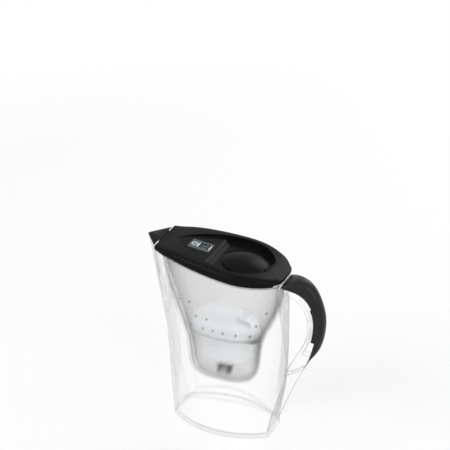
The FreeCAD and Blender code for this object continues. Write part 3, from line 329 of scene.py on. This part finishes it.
def ring(bm, place, inner, outer, low, high):
    # Flat ring with eased edges, spun about the frame's third axis
    easeShare = 0.2
    ease = easeShare * min(outer - inner, high - low)
    shape = ((inner, low), (outer, low), (outer, high - ease), (outer - ease, high), (inner + ease, high),
             (inner, high - ease))
    before = set(bm.verts)
    corners = [bm.verts.new((radius * mm, 0.0, height * mm)) for radius, height in shape]
    edges = [bm.edges.new((corners[k - 1], corners[k])) for k in range(len(corners))]
    bmesh.ops.spin(bm, geom=corners + edges, cent=(0, 0, 0), axis=(0, 0, 1), angle=math.tau, steps=48,
                   use_merge=True)
    bmesh.ops.transform(bm, matrix=place, verts=[vert for vert in bm.verts if vert not in before])
    bmesh.ops.recalc_face_normals(bm, faces=bm.faces)


def slab(bm, place, centre, size):
    # Thin block with rounded edges
    easeShare = 0.25
    sized = Matrix.Diagonal((*(side * mm for side in size), 1.0))
    made = bmesh.ops.create_cube(bm, size=1.0, matrix=place @ Matrix.Translation(Vector(centre) * mm) @ sized)
    edges = {edge for vert in made["verts"] for edge in vert.link_edges}
    bmesh.ops.bevel(bm, geom=list(edges), offset=easeShare * min(size) * mm, offset_type="OFFSET", affect="EDGES",
                    segments=2, profile=0.5, material=-1)


def bead(bm, place, radius, proud):
    # Low round bump, half of it below the surface
    sized = Matrix.Diagonal((radius * mm, radius * mm, proud * mm, 1.0))
    bmesh.ops.create_uvsphere(bm, u_segments=20, v_segments=10, radius=1.0, matrix=place @ sized)


# Moulded pips on the funnel's long wall: along the pitcher and up, in millimetres
pips = {"radius": 1.7, "proud": 0.55, "start": 120.0, "spots": (
    (-57.5, 195.5), (-46.5, 177.0), (-37.8, 162.5), (-39.4, 199.3), (-29.5, 180.0), (-19.0, 163.5), (-12.4, 180.7),
    (-4.0, 163.9), (10.7, 163.5), (28.2, 163.1), (45.5, 161.8), (53.8, 179.4), (66.4, 200.3))}
funnelTree = wallTree("hopper")
pipMesh = bmesh.new()
for along, up in pips["spots"]:
    place = seat(funnelTree, (along, -pips["start"], up), (0, 1, 0))
    bead(pipMesh, place, pips["radius"], pips["proud"])
piece("hopper_pips", pipMesh, "hopper", "smoke_hopper", smoothAngle=60, finishName="smoke_pip")

# Painted shade: a dark crescent strip on the funnel's ledge for the shadowed gap there, at the handle end of the
# near side; angles in degrees
ledgeShade = {"from": -31.0, "to": -5.0, "steps": 24, "centre": -3.0, "reach": 120.0, "up": 149.0, "tip": 0.05, "tall": 1.7,
       "proud": 0.25, "sunk": -0.4}
ledgeShadeMesh = bmesh.new()
loops = []
for k in range(ledgeShade["steps"] + 1):
    share = k / ledgeShade["steps"]
    angle = math.radians(ledgeShade["from"] + share * (ledgeShade["to"] - ledgeShade["from"]))
    out = Vector((math.cos(angle), math.sin(angle), 0.0))
    start = Vector((ledgeShade["centre"], 0.0, ledgeShade["up"])) + out * ledgeShade["reach"]
    spot = seat(funnelTree, start, -out).translation
    half = (ledgeShade["tip"] + ledgeShade["tall"] * math.sin(math.pi * share)) * mm
    corners = ((ledgeShade["proud"], half), (ledgeShade["proud"], -half), (ledgeShade["sunk"], -half), (ledgeShade["sunk"], half))
    loops.append([ledgeShadeMesh.verts.new(spot + out * (off * mm) + Vector((0, 0, rise))) for off, rise in corners])
for first, second in zip(loops, loops[1:]):
    for k in range(len(first)):
        ledgeShadeMesh.faces.new((first[k - 1], first[k], second[k], second[k - 1]))
for loop in (loops[0], loops[-1]):
    ledgeShadeMesh.faces.new(loop)
bmesh.ops.recalc_face_normals(ledgeShadeMesh, faces=ledgeShadeMesh.faces)
piece("ledge_shade_strip", ledgeShadeMesh, "hopper", "smoke_hopper", smoothAngle=40, finishName="ledge_shade_dark")

# Two low vents near the top of the cartridge's dome, each with a dark bead in its opening as painted shade for the
# hole: along the pitcher and across it, in millimetres
vents = {"inner": 1.0, "outer": 2.2, "sunk": -0.8, "proud": 0.6, "hole": 0.18, "start": 300.0,
         "spots": ((-20.0, 3.0), (9.0, 3.0))}
domeTree = wallTree("cartridge_cap")
ventMesh = bmesh.new()
ventShadeMesh = bmesh.new()
for along, across in vents["spots"]:
    place = seat(domeTree, (along, across, vents["start"]), (0, 0, -1))
    ring(ventMesh, place, vents["inner"], vents["outer"], vents["sunk"], vents["proud"])
    bead(ventShadeMesh, place, vents["inner"], vents["hole"])
piece("cap_vents", ventMesh, "cartridge", "white_cartridge", smoothAngle=40)
# Dark beads: painted shade inside the vent openings
piece("vent_hole_shade", ventShadeMesh, "cartridge", "white_cartridge", smoothAngle=60, finishName="dark_post")

# Indicator face: a ring round the button, a stripe at each end of the display and four bars in it
face = {"spot": (-38.6, 0.0, 267.68), "tilt": 5.74, "button": -9.0, "ring": (3.8, 4.7), "print": 0.08,
        "stripes": (-3.4, 13.4), "stripe": (1.2, 11.8), "bars": (0.2, 3.4, 6.6, 9.8), "bar": (1.5, 9.0)}
facePlace = Matrix.Translation(Vector(face["spot"]) * mm) @ Matrix.Rotation(math.radians(face["tilt"]), 4, "Y")
buttonPlace = facePlace @ Matrix.Translation((face["button"] * mm, 0, 0))
printMesh = bmesh.new()
ring(printMesh, buttonPlace, *face["ring"], -face["print"], face["print"])
for along in face["stripes"]:
    slab(printMesh, facePlace, (along, 0, 0), (*face["stripe"], 2 * face["print"]))
piece("indicator_print", printMesh, "indicator", "pale_button", smoothAngle=40, finishName="white_print")
barMesh = bmesh.new()
for along in face["bars"]:
    slab(barMesh, facePlace, (along, 0, 0), (*face["bar"], 2 * face["print"]))
piece("display_bars", barMesh, "indicator", "display_panel", smoothAngle=40, finishName="dark_print")
print("stage: details added")

# Floor and surroundings that are white to the camera; the floor keeps the soft shadow and fades out further off
studio = {"floor": 6.0, "floorGrey": 0.86, "whiteShare": 0.6, "fadeFrom": 0.35, "fadeRate": 1.1,
          "ambient": 0.62, "ambientColour": (0.98, 0.99, 1.0, 1)}


def floorFinish():
    made = newFinish("paleFloor")
    matt = made.node("ShaderNodeBsdfDiffuse", None, {"Color": grey(studio["floorGrey"])})
    white = made.node("ShaderNodeEmission", None, {"Color": grey(1.0), "Strength": 1.0})
    reach = made.node("ShaderNodeVectorMath", {"operation": "LENGTH"}, {0: made.place()}, "Value")
    fade = ((reach - studio["fadeFrom"]) * studio["fadeRate"]).maths("MAXIMUM", studio["whiteShare"])
    return made.output(made.mixShader(made.seen() * fade.maths("MINIMUM", 1.0), matt, white))


floorMesh = bmesh.new()
bmesh.ops.create_grid(floorMesh, x_segments=1, y_segments=1, size=studio["floor"])
floorData = bpy.data.meshes.new("floor")
floorMesh.to_mesh(floorData)
floorMesh.free()
floor = bpy.data.objects.new("floor", floorData)
scene.collection.objects.link(floor)
floorData.materials.append(floorFinish())

scene.world = bpy.data.worlds.new("studio")
sky = Finish(scene.world)
soft = sky.node("ShaderNodeBackground", None, {"Color": studio["ambientColour"], "Strength": studio["ambient"]})
clear = sky.node("ShaderNodeBackground", None, {"Color": grey(1.0), "Strength": 1.0})
sky.output(sky.mixShader(sky.seen(), soft, clear), "ShaderNodeOutputWorld")


def aimed(name, data, spot, target):
    # A lamp or camera that looks from one point to another
    made = bpy.data.objects.new(name, data)
    made.location = spot
    made.rotation_euler = (Vector(target) - Vector(spot)).to_track_quat("-Z", "Y").to_euler()
    scene.collection.objects.link(made)
    return made


# Soft boxes: place and size in metres, power in watts
softBoxes = {"key": ((-1.3, -1.5, 1.9), 1.1, 26.0), "fill": ((1.9, -1.1, 1.1), 1.2, 12.0),
             "rim": ((0.5, 1.8, 1.6), 1.3, 20.0)}
lampAim = (0.0, 0.0, 0.22)
for name, (spot, size, power) in softBoxes.items():
    lamp = bpy.data.lights.new(name, "AREA")
    lamp.size = size
    lamp.energy = power
    aimed(name, lamp, spot, lampAim)

# Camera at the photograph's viewing angle
view = {"spot": (0.7950, -1.7057, 1.3683), "target": (-0.00353, 0.0, 0.30723), "lens": 131.92, "sensor": 36.0}
lens = bpy.data.cameras.new("photoView")
lens.lens = view["lens"]
lens.sensor_width = view["sensor"]
scene.camera = aimed("photoView", lens, view["spot"], view["target"])
print("stage: studio set")
